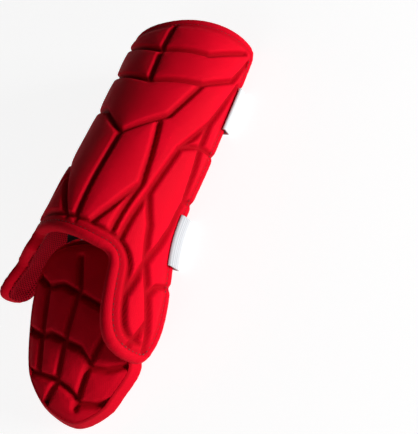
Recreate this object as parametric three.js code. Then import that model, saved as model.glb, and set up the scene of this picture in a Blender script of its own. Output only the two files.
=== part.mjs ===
// Batter's leg guard: a padded shin shell lying on its open back, front up, with the foot pad
// that covers the instep, a black tab between the two, and white straps.
// Millimetres. +Y runs up the leg to the knee and +Z is the front of the shin. Left (-X) and
// right (+X) are as seen from the front.
import * as THREE from 'three';

// Shin shell, outer face of the raised panels, a row for each section up the leg
const shinSections = [
  { up: -30, left: 75, right: 78.5, depth: 80 },
  { up: 0, left: 75, right: 78.5, depth: 80 },
  { up: 40, left: 75, right: 82, depth: 81 },
  { up: 120, left: 62, right: 65.5, depth: 83 },
  { up: 200, left: 66, right: 70, depth: 73 },
  { up: 330, left: 74, right: 75.5, depth: 63 },
  { up: 360, left: 74, right: 75.5, depth: 63 },
];
const sectionPower = 2.2;
const patternRadius = 70;

// The lobes spring outwards and forwards below the arch, the left one most
const lobeSpring = {
  top: 110,
  power: 1.5,
  start: 8,
  full: 70,
  left: { outward: 9, forward: 21 },
  right: { outward: 5, forward: 8 },
};

// Outline of the shell in its flat pattern, across and up from the front's centre line
const shin = {
  rimMiddle: 329,
  rimSlope: 0.1,
  rimCorner: 16,
  sideEdge: (Math.PI / 2) * patternRadius,
  archTop: 87,
  bulge: 0.75,
  round: 0.68,
};
const leftLobe = {
  rimSlope: -shin.rimSlope,
  rimEnd: 326,
  turnUp: 37,
  tip: { across: 91, up: 21 },
  low: { across: 64, up: 53.5 },
  high: { across: 43, up: 69 },
  shoulder: { across: 35, up: 83 },
};
const rightLobe = {
  rimSlope: shin.rimSlope,
  rimEnd: 334,
  turnUp: 36,
  tip: { across: 95.5, up: 8 },
  low: { across: 50, up: 69 },
  high: { across: 50, up: 73 },
  shoulder: { across: 40, up: 83 },
};
const leftLobeLift = 18;

// Layers, as depth below the top of the panels
const layers = {
  shoulder: 0.2,
  channel: 4.4,
  foamBack: 8.7,
  liningFront: 9,
  liningBack: 10.8,
};
const channelHalfWidth = 4.2;
const channelClear = 2.4;
const borderClear = 4.4;
const edgeClear = 3.6;
const bindingGap = 0.3;

// Rolled edges: the width, the border's depth and slope beside it, and the section of the roll
const shinEdge = {
  width: 9,
  border: 2.6,
  slope: 6,
  section: [
    { inward: 9, depth: 2.4 },
    { inward: 4, depth: 1.9 },
    { inward: 1, depth: 3.6 },
    { inward: 0, depth: 6.8 },
    { inward: 1, depth: 10 },
    { inward: 4, depth: 11.6 },
    { inward: 9, depth: 11.1 },
  ],
};
const footEdge = {
  width: 7.2,
  border: 0.7,
  slope: 5,
  section: [
    { inward: 7.2, depth: 0.9 },
    { inward: 6.2, depth: 1.1 },
    { inward: 3.2, depth: 4.6 },
    { inward: 0.7, depth: 8.2 },
    { inward: 0, depth: 9.8 },
    { inward: 0.9, depth: 11.2 },
    { inward: 3.4, depth: 11.6 },
    { inward: 7.2, depth: 11.1 },
  ],
};
const lobeGroove = { inward: 5.6, topUp: 104, sideEnd: 91 };

// Pressed channels of the shell: degrees round from the front, millimetres up
const frontChannels = [
  { name: 'top seam', nodes: [[-74, 319], [-23, 296], [8, 287], [45, 293], [74, 319]] },
  { name: 'top centre', nodes: [[9, 321], [8, 287], [11, 249]] },
  { name: 'knee seam', nodes: [[-72, 283], [-34, 262], [12, 249], [50, 261], [72, 283]] },
  { name: 'shield right', nodes: [[50, 261], [38, 217], [10.5, 188]] },
  { name: 'shield left', nodes: [[-67, 226], [-19, 214], [10.5, 188]] },
  { name: 'shin centre', nodes: [[10.5, 188], [12, 100]] },
  { name: 'shin right', nodes: [[34, 206], [40, 173], [44, 147]] },
  { name: 'instep right', nodes: [[44, 147], [33, 119], [24, 101]] },
  { name: 'instep outer', nodes: [[44, 147], [38, 101]] },
  { name: 'instep left', nodes: [[-52, 162], [-33, 155], [-19, 138], [3, 101]] },
  { name: 'instep left branch', nodes: [[-22, 141], [-34, 104]] },
];
const flankChannels = [
  { name: 'top corner', nodes: [[82, 315], [72, 283]] },
  { name: 'flank', nodes: [[80, 284], [69, 231], [55, 192], [51, 142], [44, 97]] },
  { name: 'flank fork', nodes: [[69, 231], [70, 204]] },
  { name: 'flank shelf', nodes: [[55, 192], [62, 199], [70, 204], [83, 207]] },
  { name: 'calf', nodes: [[70, 204], [74, 181], [78, 152], [76, 124], [71, 106], [62.5, 86]] },
  { name: 'calf shelf', nodes: [[78, 152], [83, 155]] },
  { name: 'ankle', nodes: [[51, 142], [60, 117], [62.5, 86], [69, 54], [72, 42], [79, 19]] },
  { name: 'ankle cross', nodes: [[62.5, 86], [54, 56]] },
  { name: 'lobe cross', nodes: [[72, 42], [66, 18]] },
  { name: 'heel', nodes: [[67.5, 61], [73, 70], [84.5, 75]] },
];

// Foot pad: how it lies, and its outline with a row for each section towards the toe
const footPlace = { across: -5, up: 94, high: 41.5, pitch: 12.1, roll: 12.3, yaw: 15.7 };
const footSections = [
  { along: 0, left: 0, right: 0 },
  { along: 6, left: 30, right: 27 },
  { along: 20, left: 43, right: 36 },
  { along: 36, left: 50.5, right: 40 },
  { along: 56, left: 54.5, right: 43.5 },
  { along: 78, left: 55.5, right: 46 },
  { along: 98, left: 55, right: 50 },
  { along: 110, left: 53.5, right: 52 },
  { along: 119, left: 51, right: 49 },
  { along: 133.5, left: 42, right: 39 },
  { along: 147, left: 28.5, right: 28 },
  { along: 159, left: 0, right: 0 },
];
const footShape = { crown: 6, dome: 6, halfWidth: 57, middle: 78, halfLength: 80, panelTop: 6.5 };
const footChannels = [
  { name: 'ankle row', nodes: [[-30, 42], [-15, 41], [4, 51], [30, 66]] },
  { name: 'left line', nodes: [[-44, 30], [-30, 42], [-33, 80], [-35, 113]] },
  { name: 'centre line', nodes: [[0, 18], [2, 44], [-8, 81], [-16, 120], [-28, 140]] },
  { name: 'middle row', nodes: [[-52, 77], [-33, 84], [-24, 82], [4, 94], [14, 108]] },
  { name: 'right line', nodes: [[26, 84], [12, 109], [4, 132], [1, 141]] },
  { name: 'toe row', nodes: [[-49, 112], [-18, 119], [-6, 126], [3, 135]] },
  { name: 'toe right', nodes: [[13, 110], [27, 112], [49, 108]] },
  { name: 'toe end', nodes: [[3, 138], [18, 139], [31, 136]] },
];

// Straps, each with its lower end, its width and where its sewn lengths meet
const strapThickness = 1.8;
const strapGap = 0.4;
const wallLift = strapThickness + 2 * strapGap;
const strapRows = [
  { name: 'upper_strap', up: 236, width: 48, wrapTop: 82.8, bandEnd: 34, tabStart: -12, tabEnd: -72 },
  { name: 'lower_strap', up: 93, width: 48, wrapTop: 80.5, bandEnd: 30, tabStart: -4, tabEnd: -63 },
];
const strapWrapFoot = 87;
const wallEdge = 90;
const strapTurn = { drop: 1, inward: 1.2, run: 6 };
const tabThickness = 2.2;
const footStrap = { along: 48, width: 34, thickness: 1.4, inset: 1.5, depth: 12.5, sag: 12 };

// Black tab: where it is sewn inside the shell, and the edge of the foot pad that it meets
const hingeTab = {
  aroundStart: -17,
  aroundEnd: 20,
  topUp: 142,
  leaveUp: 107,
  thickness: 1.8,
  gap: 1.9,
  leaveGap: 1.5,
  columns: 6,
};
const hingeFoot = { left: -21, right: 19, reach: 2.2, depth: 8.6, edgeDrop: 8, edgeHalfWidth: 29 };
const hingeSlack = [
  { share: 0.3, rise: 1.5 },
  { share: 0.65, rise: 2.5 },
];

// Mesh steps
const loopStep = 6.6;
const channelStep = 5.6;
const fillStep = 13;
const fillClear = 7;
const fillLean = 0.37;
const fillSlope = 0.05;
const backStep = 27;
const strapSteps = { up: 4, across: 2 };
const footStrapSteps = { along: 3, across: 10 };

const fabricRed = { color: 0xc8102e, roughness: 0.85, metalness: 0 };
const liningRed = { color: 0x8c0d22, roughness: 0.9, metalness: 0 };
const strapWhite = { color: 0xe9eaec, roughness: 0.75, metalness: 0 };
const tabBlack = { color: 0x141414, roughness: 0.9, metalness: 0 };

const sectionUps = shinSections.map((row) => row.up);
const sectionValues = shinSections.flatMap((row) => [row.left, row.right, row.depth]);
const sectionCurve = new THREE.CubicInterpolant(sectionUps, sectionValues, 3);

// A point of the shell from degrees round, height up the leg and depth below the panels
function shellPoint(around, up, depth) {
  const [left, right, front] = sectionCurve.evaluate(up);
  const halfWidth = around < 0 ? left : right;
  const angle = THREE.MathUtils.degToRad(around);
  const sine = Math.sin(angle);
  const cosine = Math.cos(angle);
  const sum = Math.abs(sine) ** sectionPower + Math.abs(cosine) ** sectionPower;
  const reach = sum ** (-1 / sectionPower);
  const { outward, forward } = around < 0 ? lobeSpring.left : lobeSpring.right;
  const fall = Math.max(1 - up / lobeSpring.top, 0) ** lobeSpring.power;
  const share = fall * THREE.MathUtils.smoothstep(Math.abs(around), lobeSpring.start, lobeSpring.full);
  const x = (halfWidth - depth) * sine * reach + Math.sign(around) * outward * share;
  const z = (front - depth) * cosine * reach + forward * share;
  return new THREE.Vector3(x, up, z + wallLift);
}

function degreesOf(across) {
  return THREE.MathUtils.radToDeg(across / patternRadius);
}

function placeOnShell(flat, depth) {
  return shellPoint(degreesOf(flat.x), flat.y, depth);
}

const footTurn = new THREE.Matrix4().makeRotationFromEuler(
  new THREE.Euler(
    THREE.MathUtils.degToRad(footPlace.pitch),
    THREE.MathUtils.degToRad(footPlace.roll),
    THREE.MathUtils.degToRad(footPlace.yaw),
    'ZXY',
  ),
);

// A point of the foot pad from its flat pattern, whose y runs from the toe to the ankle
function placeOnFoot(flat, depth) {
  const acrossShare = (flat.x / footShape.halfWidth) ** 2;
  const alongShare = ((-flat.y - footShape.middle) / footShape.halfLength) ** 2;
  const dome = footShape.dome * Math.max(1 - acrossShare, 0) * Math.max(1 - alongShare, 0);
  const height = dome - footShape.crown * acrossShare + footShape.panelTop - depth;
  const point = new THREE.Vector3(flat.x, flat.y, height).applyMatrix4(footTurn);
  return point.add(new THREE.Vector3(footPlace.across, footPlace.up, footPlace.high + wallLift));
}

// One half of the shell's outline, from the middle of the rim round the lobe to the arch's top
function halfShinOutline({ rimSlope, rimEnd, turnUp, tip, low, high, shoulder }) {
  const { sideEdge, rimMiddle, rimCorner, bulge, round, archTop } = shin;
  const path = new THREE.Path();
  path.moveTo(0, rimMiddle);
  path.quadraticCurveTo(
    sideEdge / 2, rimMiddle + (rimSlope * sideEdge) / 2,
    sideEdge - rimCorner, rimEnd,
  );
  path.quadraticCurveTo(sideEdge, rimEnd, sideEdge, rimEnd - rimCorner);
  path.lineTo(sideEdge, turnUp);
  path.bezierCurveTo(
    sideEdge, turnUp - bulge * (turnUp - tip.up),
    tip.across + round * (sideEdge - tip.across), tip.up,
    tip.across, tip.up,
  );
  path.bezierCurveTo(
    tip.across - round * (tip.across - low.across), tip.up,
    low.across, low.up - bulge * (low.up - tip.up),
    low.across, low.up,
  );
  path.lineTo(high.across, high.up);
  path.quadraticCurveTo(high.across, shoulder.up, shoulder.across, shoulder.up);
  path.quadraticCurveTo(shoulder.across / 2, archTop, 0, archTop);
  return path.getSpacedPoints(Math.round(path.getLength() / loopStep));
}

// The whole outline, clockwise in the flat pattern
function shinOutline() {
  const right = halfShinOutline(rightLobe);
  const left = halfShinOutline(leftLobe).map((point) => new THREE.Vector2(-point.x, point.y));
  return [...right.slice(0, -1), ...left.reverse().slice(0, -1)];
}

function footOutline() {
  const right = footSections.slice(0, -1).map((row) => new THREE.Vector3(row.right, -row.along, 0));
  const left = footSections.slice(1).map((row) => new THREE.Vector3(-row.left, -row.along, 0));
  const curve = new THREE.CatmullRomCurve3([...right, ...left.reverse()], true, 'centripetal');
  const points = curve.getSpacedPoints(Math.round(curve.getLength() / loopStep));
  return points.slice(0, -1).map((point) => new THREE.Vector2(point.x, point.y));
}

// The loop moved inwards, to the right of its clockwise run
function offsetLoop(loop, inward) {
  return loop.map((point, i) => {
    const before = loop[(i + loop.length - 1) % loop.length];
    const after = loop[(i + 1) % loop.length];
    const along = after.clone().sub(before).normalize();
    return new THREE.Vector2(point.x + along.y * inward, point.y - along.x * inward);
  });
}

function isInside(point, loop) {
  let inside = false;
  loop.forEach((a, i) => {
    const b = loop[(i + 1) % loop.length];
    const crosses = a.y > point.y !== b.y > point.y;
    if (crosses && point.x < a.x + ((b.x - a.x) * (point.y - a.y)) / (b.y - a.y)) {
      inside = !inside;
    }
  });
  return inside;
}

function isClear(point, others, distance) {
  return others.every((other) => other.distanceTo(point) >= distance);
}

// Outside the circle on each of the loop's edges, so that those edges stay in the triangles
function isOffEdges(point, loop) {
  return loop.every((a, i) => {
    const b = loop[(i + 1) % loop.length];
    const middle = a.clone().add(b).multiplyScalar(0.5);
    return middle.distanceTo(point) > a.distanceTo(b) / 2;
  });
}

// A triangle with its circumscribed circle
function circled(points, a, b, c) {
  const [p, q, r] = [points[a], points[b], points[c]];
  const twice = 2 * (p.x * (q.y - r.y) + q.x * (r.y - p.y) + r.x * (p.y - q.y));
  const [pp, qq, rr] = [p.lengthSq(), q.lengthSq(), r.lengthSq()];
  const x = (pp * (q.y - r.y) + qq * (r.y - p.y) + rr * (p.y - q.y)) / twice;
  const y = (pp * (r.x - q.x) + qq * (p.x - r.x) + rr * (q.x - p.x)) / twice;
  const centre = new THREE.Vector2(x, y);
  return { corners: [a, b, c], centre, radiusSq: centre.distanceToSquared(p) };
}

// Delaunay triangles of flat points, counter-clockwise, kept inside the loop
function triangulate(points, loop) {
  const far = 4000;
  const count = points.length;
  const all = [
    ...points,
    new THREE.Vector2(-far, -far),
    new THREE.Vector2(far, -far * 0.98),
    new THREE.Vector2(0.01 * far, far),
  ];
  let triangles = [circled(all, count, count + 1, count + 2)];
  points.forEach((point, index) => {
    const rim = new Map();
    const kept = [];
    for (const triangle of triangles) {
      if (triangle.centre.distanceToSquared(point) > triangle.radiusSq) {
        kept.push(triangle);
        continue;
      }
      const [a, b, c] = triangle.corners;
      for (const [from, to] of [[a, b], [b, c], [c, a]]) {
        if (!rim.delete(`${to} ${from}`)) {
          rim.set(`${from} ${to}`, [from, to]);
        }
      }
    }
    triangles = kept;
    for (const [from, to] of rim.values()) {
      triangles.push(circled(all, from, to, index));
    }
  });
  const middle = new THREE.Vector2();
  return triangles
    .map((triangle) => triangle.corners)
    .filter((corners) => corners.every((corner) => corner < count))
    .filter(([a, b, c]) => {
      middle.copy(points[a]).add(points[b]).add(points[c]).divideScalar(3);
      return isInside(middle, loop);
    });
}

// Points of the panelled face inside the loop: channels, their shoulders, the border and the fill
function panelPoints(loop, channels, slope) {
  const lines = channels.map((nodes) => {
    const path = new THREE.Path().setFromPoints(nodes);
    return path.getSpacedPoints(Math.max(2, Math.round(path.getLength() / channelStep)));
  });
  const taken = [...loop];
  const rows = [];
  const offer = (point, depth, clear) => {
    const within = isInside(point, loop) && isClear(point, loop, edgeClear) && isOffEdges(point, loop);
    if (within && isClear(point, taken, clear)) {
      taken.push(point);
      rows.push({ point, depth });
    }
  };
  lines.flat().forEach((point) => offer(point, layers.channel, channelClear));
  const floors = rows.map((row) => row.point);
  lines.forEach((line) => {
    line.forEach((point, i) => {
      const before = line[Math.max(i - 1, 0)];
      const after = line[Math.min(i + 1, line.length - 1)];
      const along = after.clone().sub(before).normalize();
      for (const side of [-channelHalfWidth, channelHalfWidth]) {
        const shoulder = new THREE.Vector2(point.x - along.y * side, point.y + along.x * side);
        if (isClear(shoulder, floors, channelHalfWidth - bindingGap)) {
          offer(shoulder, layers.shoulder, channelClear);
        }
      }
    });
  });
  offsetLoop(loop, slope).forEach((point) => offer(point, layers.shoulder, borderClear));
  fillPoints(loop, fillStep).forEach((point) => offer(point, 0, fillClear));
  return rows;
}

// An even field of points inside the loop, in rows that lean a little
function fillPoints(loop, step) {
  const box = new THREE.Box2().setFromPoints(loop);
  const points = [];
  for (let row = 1; box.min.y + row * step < box.max.y; row += 1) {
    const start = box.min.x + ((row * fillLean) % 1) * step;
    for (let x = start; x < box.max.x; x += step) {
      const y = box.min.y + row * step + fillSlope * (x - box.min.x);
      const point = new THREE.Vector2(x, y);
      if (isInside(point, loop) && isClear(point, loop, step / 2)) {
        points.push(point);
      }
    }
  }
  return points;
}

function solidFrom(vertices, indices) {
  const geometry = new THREE.BufferGeometry().setFromPoints(vertices);
  geometry.setIndex(indices);
  geometry.computeVertexNormals();
  return geometry;
}

// A closed layer over the loop: front and back faces and the wall between them
function layerSolid(loop, edgeDepth, frontRows, backRows, backDepth, place) {
  const frontFlat = [...loop, ...frontRows.map((row) => row.point)];
  const backFlat = [...loop, ...backRows.map((row) => row.point)];
  const frontPoints = [
    ...loop.map((point) => place(point, edgeDepth)),
    ...frontRows.map((row) => place(row.point, row.depth)),
  ];
  const backPoints = backFlat.map((point) => place(point, backDepth));
  const start = frontPoints.length;
  const indices = triangulate(frontFlat, loop).flat();
  for (const [a, b, c] of triangulate(backFlat, loop)) {
    indices.push(start + a, start + c, start + b);
  }
  loop.forEach((_, i) => {
    const next = (i + 1) % loop.length;
    indices.push(i, next, start + next);
    indices.push(i, start + next, start + i);
  });
  return solidFrom([...frontPoints, ...backPoints], indices);
}

// A rolled edge swept round the outline
function bindingSolid(outline, section, place) {
  const lines = section.map(({ inward, depth }) =>
    offsetLoop(outline, inward).map((point) => place(point, depth)),
  );
  const count = outline.length;
  const indices = [];
  lines.forEach((_, ring) => {
    const nextRing = (ring + 1) % lines.length;
    for (let i = 0; i < count; i += 1) {
      const next = (i + 1) % count;
      indices.push(ring * count + i, nextRing * count + next, nextRing * count + i);
      indices.push(ring * count + i, ring * count + next, nextRing * count + next);
    }
  });
  return solidFrom(lines.flat(), indices);
}

// A band from rows of points, thickened to the side that its rows and columns turn towards
function bandSolid(rows, thickness) {
  const columns = rows[0].length;
  const faceAt = (row, column) => {
    const up = rows[Math.min(row + 1, rows.length - 1)][column];
    const down = rows[Math.max(row - 1, 0)][column];
    const right = rows[row][Math.min(column + 1, columns - 1)];
    const left = rows[row][Math.max(column - 1, 0)];
    const normal = right.clone().sub(left).cross(up.clone().sub(down)).normalize();
    return rows[row][column].clone().addScaledVector(normal, thickness);
  };
  const near = rows.flat();
  const far = rows.flatMap((line, row) => line.map((_, column) => faceAt(row, column)));
  const start = near.length;
  const indices = [];
  const quad = (a, b, c, d) => indices.push(a, b, c, a, c, d);
  const at = (row, column) => row * columns + column;
  for (let row = 0; row + 1 < rows.length; row += 1) {
    for (let column = 0; column + 1 < columns; column += 1) {
      const [a, b] = [at(row, column), at(row, column + 1)];
      const [c, d] = [at(row + 1, column + 1), at(row + 1, column)];
      quad(start + a, start + b, start + c, start + d);
      quad(a, d, c, b);
    }
  }
  for (let column = 0; column + 1 < columns; column += 1) {
    const last = rows.length - 1;
    quad(at(0, column), at(0, column + 1), start + at(0, column + 1), start + at(0, column));
    const [a, b] = [at(last, column), at(last, column + 1)];
    quad(b, a, start + a, start + b);
  }
  for (let row = 0; row + 1 < rows.length; row += 1) {
    const last = columns - 1;
    quad(at(row + 1, 0), at(row, 0), start + at(row, 0), start + at(row + 1, 0));
    quad(at(row, last), at(row + 1, last), start + at(row + 1, last), start + at(row, last));
  }
  return solidFrom([...near, ...far], indices);
}

function mesh(name, geometry, look) {
  const piece = new THREE.Mesh(geometry, new THREE.MeshStandardMaterial(look));
  piece.name = name;
  return piece;
}

function stepsBetween(from, to, count) {
  return Array.from({ length: count + 1 }, (_, i) => from + ((to - from) * i) / count);
}

// Foam, lining and rolled edge of one padded piece
function paddedPiece(name, outline, channels, edge, place) {
  const loop = padLoop(outline, edge);
  const panelRows = panelPoints(loop, channels, edge.slope);
  const backRows = fillPoints(loop, backStep).map((point) => ({ point, depth: layers.liningFront }));
  const foam = layerSolid(loop, edge.border, panelRows, backRows, layers.foamBack, place);
  const lining = layerSolid(loop, layers.liningFront, backRows, backRows, layers.liningBack, place);
  return [
    mesh(`${name}_pad`, foam, fabricRed),
    mesh(`${name}_lining`, lining, liningRed),
    mesh(`${name}_binding`, bindingSolid(outline, edge.section, place), fabricRed),
  ];
}

function padLoop(outline, edge) {
  return offsetLoop(outline, edge.width + bindingGap);
}

// The groove that runs beside the rolled edge, on the lobes' inner side and over the arch
function lobeGrooveLine(outline) {
  const line = offsetLoop(padLoop(outline, shinEdge), lobeGroove.inward);
  const isBesideArch = (point) => point.y < lobeGroove.topUp && Math.abs(point.x) < lobeGroove.sideEnd;
  return line.filter(isBesideArch);
}

function shinChannelLines(outline) {
  const flat = ([around, up]) => {
    const across = THREE.MathUtils.degToRad(around) * patternRadius;
    return new THREE.Vector2(across, up);
  };
  const lifted = ([around, up]) => {
    const share = Math.max(1 - up / shin.archTop, 0);
    return flat([-around, up + leftLobeLift * share]);
  };
  return [
    ...frontChannels.map((row) => row.nodes.map(flat)),
    ...flankChannels.map((row) => row.nodes.map(flat)),
    ...flankChannels.map((row) => row.nodes.map(lifted)),
    lobeGrooveLine(outline),
  ];
}

function footChannelLines() {
  const flat = ([across, along]) => new THREE.Vector2(across, -along);
  return footChannels.map((row) => row.nodes.map(flat));
}

// A strap lies flat under the shell's open back and wraps up the outside of one wall
function strapPieces({ name, up, width, wrapTop, bandEnd, tabStart, tabEnd }) {
  const ups = stepsBetween(up, up + width, strapSteps.up);
  const rowAt = (height) => {
    const arounds = stepsBetween(wrapTop, strapWrapFoot, strapSteps.across);
    const wall = arounds.map((around) => shellPoint(around, height, -strapGap));
    const foot = shellPoint(wallEdge, height, -strapGap);
    const turn = [
      new THREE.Vector3(foot.x, height, foot.z - strapTurn.drop),
      new THREE.Vector3(foot.x - strapTurn.inward, height, strapThickness),
    ];
    const across = stepsBetween(foot.x - strapTurn.run, bandEnd, strapSteps.across);
    const floor = across.map((x) => new THREE.Vector3(x, height, strapThickness));
    return [...wall, ...turn, ...floor];
  };
  const flatRow = (from, to, thickness) => (height) =>
    stepsBetween(from, to, strapSteps.across).map((x) => new THREE.Vector3(x, height, thickness));
  const flatPiece = (suffix, from, to, thickness) =>
    mesh(`${name}_${suffix}`, bandSolid(ups.map(flatRow(from, to, thickness)), thickness), strapWhite);
  return [
    mesh(`${name}_band`, bandSolid(ups.map(rowAt), strapThickness), strapWhite),
    flatPiece('elastic', bandEnd - bindingGap, tabStart + bindingGap, strapThickness),
    flatPiece('tab', tabStart, tabEnd, tabThickness),
  ];
}

// The strap across the underside of the foot pad, slack between its sewn ends
function footStrapPiece(outline) {
  const edgeAt = (along, side) => {
    const row = outline.filter((point) => Math.sign(point.x) === side);
    row.sort((a, b) => Math.abs(a.y + along) - Math.abs(b.y + along));
    const [near, next] = row;
    const share = (-along - near.y) / (next.y - near.y);
    return near.x + (next.x - near.x) * share;
  };
  const alongs = stepsBetween(footStrap.along + footStrap.width, footStrap.along, footStrapSteps.along);
  const rows = alongs.map((along) => {
    const left = edgeAt(along, -1) + footStrap.inset;
    const right = edgeAt(along, 1) - footStrap.inset;
    return stepsBetween(1, -1, footStrapSteps.across).map((share) => {
      const across = (left + right) / 2 + ((right - left) / 2) * share;
      const edgeShare = (across / footShape.halfWidth) ** 2;
      const alongShare = ((along - footShape.middle) / footShape.halfLength) ** 2;
      const dome = footShape.dome * Math.max(1 - edgeShare, 0) * Math.max(1 - alongShare, 0);
      const hang = footStrap.sag * (1 - share ** 4) + dome * (1 - share ** 2);
      return placeOnFoot(new THREE.Vector2(across, -along), footStrap.depth + hang);
    });
  });
  return mesh('foot_strap', bandSolid(rows, footStrap.thickness), strapWhite);
}

// The black tab, from the inside of the shell over the arch to the foot pad's upper edge
function hingeTabPiece() {
  const { aroundStart, aroundEnd, topUp, leaveUp, thickness, columns } = hingeTab;
  const clear = layers.liningBack + hingeTab.gap;
  const arounds = stepsBetween(aroundStart, aroundEnd, columns);
  const onShell = (up, depth) => arounds.map((around) => shellPoint(around, up, depth));
  const lower = stepsBetween(hingeFoot.left, hingeFoot.right, columns).map((across) => {
    const drop = hingeFoot.edgeDrop * (across / hingeFoot.edgeHalfWidth) ** 2;
    return placeOnFoot(new THREE.Vector2(across, hingeFoot.reach - drop), hingeFoot.depth);
  });
  const above = onShell(leaveUp, clear + hingeTab.leaveGap);
  const slackRows = hingeSlack.map(({ share, rise }) =>
    above.map((point, i) => {
      const mixed = point.clone().lerp(lower[i], share);
      mixed.y += rise;
      return mixed;
    }),
  );
  const rows = [
    onShell(topUp, clear),
    onShell((topUp + leaveUp) / 2, clear),
    above,
    ...slackRows,
    lower,
  ];
  return mesh('hinge_tab', bandSolid(rows, thickness), tabBlack);
}

const shinLoop = shinOutline();
const footLoop = footOutline();
const guard = new THREE.Group();
guard.add(...paddedPiece('shin', shinLoop, shinChannelLines(shinLoop), shinEdge, placeOnShell));
guard.add(...paddedPiece('foot', footLoop, footChannelLines(), footEdge, placeOnFoot));
guard.add(hingeTabPiece());
strapRows.forEach((row) => guard.add(...strapPieces(row)));
guard.add(footStrapPiece(footLoop));

// The origin is on the floor under the middle of the whole guard
const box = new THREE.Box3().setFromObject(guard);
guard.position.set(-(box.min.x + box.max.x) / 2, -(box.min.y + box.max.y) / 2, -box.min.z);

export default guard;
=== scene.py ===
# Batter's leg guard: moulded pads, linings, rolled edges, stitching and straps over the frame
import bmesh
import bpy
import math
import numpy as np
from mathutils import Matrix, Vector, kdtree


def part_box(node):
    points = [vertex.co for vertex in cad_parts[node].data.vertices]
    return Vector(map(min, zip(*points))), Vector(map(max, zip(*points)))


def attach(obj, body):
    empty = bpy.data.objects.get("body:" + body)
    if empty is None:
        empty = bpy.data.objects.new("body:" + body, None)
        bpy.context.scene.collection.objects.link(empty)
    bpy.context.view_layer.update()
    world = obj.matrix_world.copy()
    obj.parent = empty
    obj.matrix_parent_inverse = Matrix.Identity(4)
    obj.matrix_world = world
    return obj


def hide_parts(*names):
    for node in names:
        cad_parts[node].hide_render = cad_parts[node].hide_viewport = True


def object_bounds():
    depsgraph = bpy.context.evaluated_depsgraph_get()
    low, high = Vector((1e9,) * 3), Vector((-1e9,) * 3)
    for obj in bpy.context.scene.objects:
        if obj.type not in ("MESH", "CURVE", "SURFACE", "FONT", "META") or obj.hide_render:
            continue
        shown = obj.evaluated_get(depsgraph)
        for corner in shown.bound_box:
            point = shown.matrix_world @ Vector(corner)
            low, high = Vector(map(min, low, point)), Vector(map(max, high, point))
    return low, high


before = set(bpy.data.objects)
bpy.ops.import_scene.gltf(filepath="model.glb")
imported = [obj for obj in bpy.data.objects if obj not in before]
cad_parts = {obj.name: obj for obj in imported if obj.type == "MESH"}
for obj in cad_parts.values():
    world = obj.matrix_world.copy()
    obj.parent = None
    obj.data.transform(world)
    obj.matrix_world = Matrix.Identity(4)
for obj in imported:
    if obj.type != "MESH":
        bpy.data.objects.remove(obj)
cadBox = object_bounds()
mm = 0.001
print("frame loaded:", len(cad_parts), "nodes")

# the form that the pads and straps are wrapped on, in millimetres and degrees
shellForm = {
    "ups": (-30, 0, 40, 120, 200, 330, 360),
    "lefts": (75, 75, 75, 62, 66, 74, 74),
    "rights": (78.5, 78.5, 82, 65.5, 70, 75.5, 75.5),
    "depths": (80, 80, 81, 83, 73, 63, 63),
    "power": 2.2,
    "patternRadius": 70,
    "wallLift": 2.6,
}
lobeSpring = {  # the lobes spring outwards and forwards below the arch, the left one most
    "top": 110, "power": 1.5, "start": 8, "full": 70,
    "leftOutward": 9, "leftForward": 21, "rightOutward": 5, "rightForward": 8,
}
footForm = {
    "origin": (-5, 94, 41.5),
    "pitch": 12.1, "roll": 12.3, "yaw": 15.7,
    "crown": 6, "dome": 6, "halfWidth": 57, "middle": 78, "halfLength": 80, "panelTop": 6.5,
}
strapRows = {
    "upper_strap": {
        "up": 236, "width": 48, "wrapTop": 82.8, "bandEnd": 34, "tabStart": -12, "tabEnd": -72,
    },
    "lower_strap": {
        "up": 93, "width": 48, "wrapTop": 80.5, "bandEnd": 30, "tabStart": -4, "tabEnd": -63,
    },
}

# the frame's origin is under the middle of the guard, so the shift is read off one strap tab
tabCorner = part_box("upper_strap_tab")[0] / mm
upperRow = strapRows["upper_strap"]
shift = np.array([tabCorner.x - upperRow["tabEnd"], tabCorner.y - upperRow["up"], tabCorner.z])


def smoothStep(low, high, value):
    share = np.clip((value - low) / (high - low), 0, 1)
    return share * share * (3 - 2 * share)


def sectionAt(up):  # half widths and depth of the shell, on smooth curves up the leg
    ups = np.array(shellForm["ups"], float)
    rows = np.stack([shellForm[key] for key in ("lefts", "rights", "depths")], axis=1).astype(float)
    at = np.clip(np.searchsorted(ups, up, side="right") - 1, 1, len(ups) - 3)
    run = ups[at + 1] - ups[at]
    p = (up - ups[at]) / run
    before = 0.5 * run / (ups[at] - ups[at - 1])
    after = 0.5 * run / (ups[at + 2] - ups[at + 1])
    weights = (
        -before * p**3 + 2 * before * p**2 - before * p,
        (1 + before) * p**3 - (1.5 + 2 * before) * p**2 + (before - 0.5) * p + 1,
        -(1 + after) * p**3 + (1.5 + after) * p**2 + 0.5 * p,
        after * p**3 - after * p**2,
    )
    mixed = sum(w[..., None] * rows[at + k - 1] for k, w in enumerate(weights))
    return mixed[..., 0], mixed[..., 1], mixed[..., 2]


def placeOnShell(across, up, depth):
    left, right, front = sectionAt(up)
    angle = across / shellForm["patternRadius"]
    half = np.where(angle < 0, left, right)
    sine, cosine = np.sin(angle), np.cos(angle)
    power = shellForm["power"]
    reach = (np.abs(sine) ** power + np.abs(cosine) ** power) ** (-1 / power)
    fall = np.maximum(1 - up / lobeSpring["top"], 0) ** lobeSpring["power"]
    share = fall * smoothStep(lobeSpring["start"], lobeSpring["full"], np.degrees(np.abs(angle)))
    outward = np.where(angle < 0, -lobeSpring["leftOutward"], lobeSpring["rightOutward"])
    forward = np.where(angle < 0, lobeSpring["leftForward"], lobeSpring["rightForward"])
    x = (half - depth) * sine * reach + outward * share
    z = (front - depth) * cosine * reach + forward * share + shellForm["wallLift"]
    return np.stack([x, up, z], axis=-1)


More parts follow.
